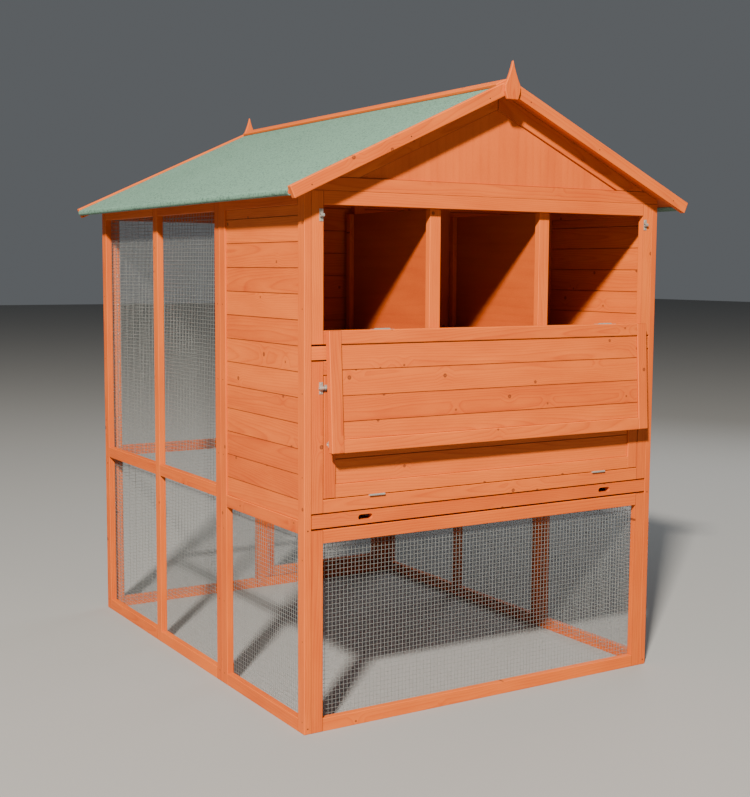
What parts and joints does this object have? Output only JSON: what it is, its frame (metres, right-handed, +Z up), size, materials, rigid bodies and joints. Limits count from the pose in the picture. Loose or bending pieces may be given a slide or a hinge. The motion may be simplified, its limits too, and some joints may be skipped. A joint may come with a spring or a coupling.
{
  "type": "rabbit hutch",
  "caption": "Tall timber hutch: boarded house with nest boxes, drop flap and pull-out tray over a wire run, wire aviary behind, and a green felted gable roof.",
  "frame": {"origin": "on the ground under the middle of the hutch", "axes": "+Z up, -Y towards the front with the nest boxes, +X to the right seen from the front"},
  "size_m": [1.452, 1.742, 1.919],
  "materials": {
    "stained_fir": "orange stained, satin",
    "stained_plywood": "orange stained plywood, matt",
    "roof_felt": "green granulated bitumen felt",
    "welded_wire": "galvanised",
    "zinc_hardware": "zinc plated"
  },
  "bodies": {
    "hutch": {"back_rails": "stained_fir", "back_stiles": "stained_fir", "back_wire": "welded_wire", "bargeboards": "stained_fir", "bolt_keepers": "zinc_hardware", "door_surround_rails": "stained_fir", "door_surround_stiles": "stained_fir", "finials": "stained_fir", "floor_runners": "stained_fir", "frame_hinge_leaves": "zinc_hardware", "front_run_rails": "stained_fir", "front_run_stiles": "stained_fir", "front_wire": "welded_wire", "gable_panels": "stained_plywood", "gable_trims": "stained_fir", "left_aviary_rails": "stained_fir", "left_aviary_stiles": "stained_fir", "left_house_boards": "stained_fir", "left_house_rails": "stained_fir", "left_house_stiles": "stained_fir", "lower_door_boards": "stained_fir", "lower_door_hinge_leaves": "zinc_hardware", "lower_door_rails": "stained_fir", "lower_door_stiles": "stained_fir", "middle_rail": "stained_fir", "nest_dividers": "stained_plywood", "nest_floor": "stained_plywood", "nest_frame_rails": "stained_fir", "nest_frame_stiles": "stained_fir", "nest_posts": "stained_fir", "rear_wall_boards": "stained_fir", "rear_wall_studs": "stained_fir", "ridge_battens": "stained_fir", "right_aviary_rails": "stained_fir", "right_aviary_stiles": "stained_fir", "right_house_boards": "stained_fir", "right_house_rails": "stained_fir", "right_house_stiles": "stained_fir", "roof_boards": "stained_plywood", "roof_felt": "roof_felt", "side_wire": "welded_wire", "wall_plates": "stained_fir"},
    "flap": {"flap_stiles": "stained_fir", "flap_rails": "stained_fir", "flap_boards": "stained_fir", "flap_hinge_leaves": "zinc_hardware", "flap_bolt_plates": "zinc_hardware"},
    "flap_bolt_left": {"flap_bolt_left": "zinc_hardware"},
    "flap_bolt_right": {"flap_bolt_right": "zinc_hardware"},
    "lower_door_bolt_left": {"lower_door_bolt_left": "zinc_hardware"},
    "lower_door_bolt_right": {"lower_door_bolt_right": "zinc_hardware"},
    "tray": {"tray_front": "stained_fir", "tray_pan": "stained_plywood"},
    "access_door": {"access_door_stiles": "stained_fir", "access_door_rails": "stained_fir", "access_door_wire": "welded_wire", "access_door_hinge_leaves": "zinc_hardware", "access_door_bolt_plate": "zinc_hardware"},
    "access_door_bolt": {"access_door_bolt": "zinc_hardware"}
  },
  "joints": [
    {"name": "flap_hinge", "type": "hinge", "parent": "hutch", "child": "flap", "pos_m": [0, -0.8035, 1.1452], "axis": [-1, 0, 0], "range_deg": [0, 176.6]},
    {"name": "flap_bolt_left_slide", "type": "slide", "parent": "flap", "child": "flap_bolt_left", "axis": [-1, 0, 0], "range_m": [0, 0.02]},
    {"name": "flap_bolt_right_slide", "type": "slide", "parent": "flap", "child": "flap_bolt_right", "axis": [1, 0, 0], "range_m": [0, 0.02]},
    {"name": "lower_door_bolt_left_slide", "type": "slide", "parent": "hutch", "child": "lower_door_bolt_left", "axis": [1, 0, 0], "range_m": [0, 0.02]},
    {"name": "lower_door_bolt_right_slide", "type": "slide", "parent": "hutch", "child": "lower_door_bolt_right", "axis": [-1, 0, 0], "range_m": [0, 0.02]},
    {"name": "tray_slide", "type": "slide", "parent": "hutch", "child": "tray", "axis": [0, -1, 0], "range_m": [0, 0.45]},
    {"name": "access_door_hinge", "type": "hinge", "parent": "hutch", "child": "access_door", "pos_m": [0.5888, 0.8035, 0.764], "axis": [0, 0, -1], "range_deg": [0, 110]},
    {"name": "access_door_bolt_slide", "type": "slide", "parent": "access_door", "child": "access_door_bolt", "axis": [-1, 0, 0], "range_m": [0, 0.02]}
  ]
}
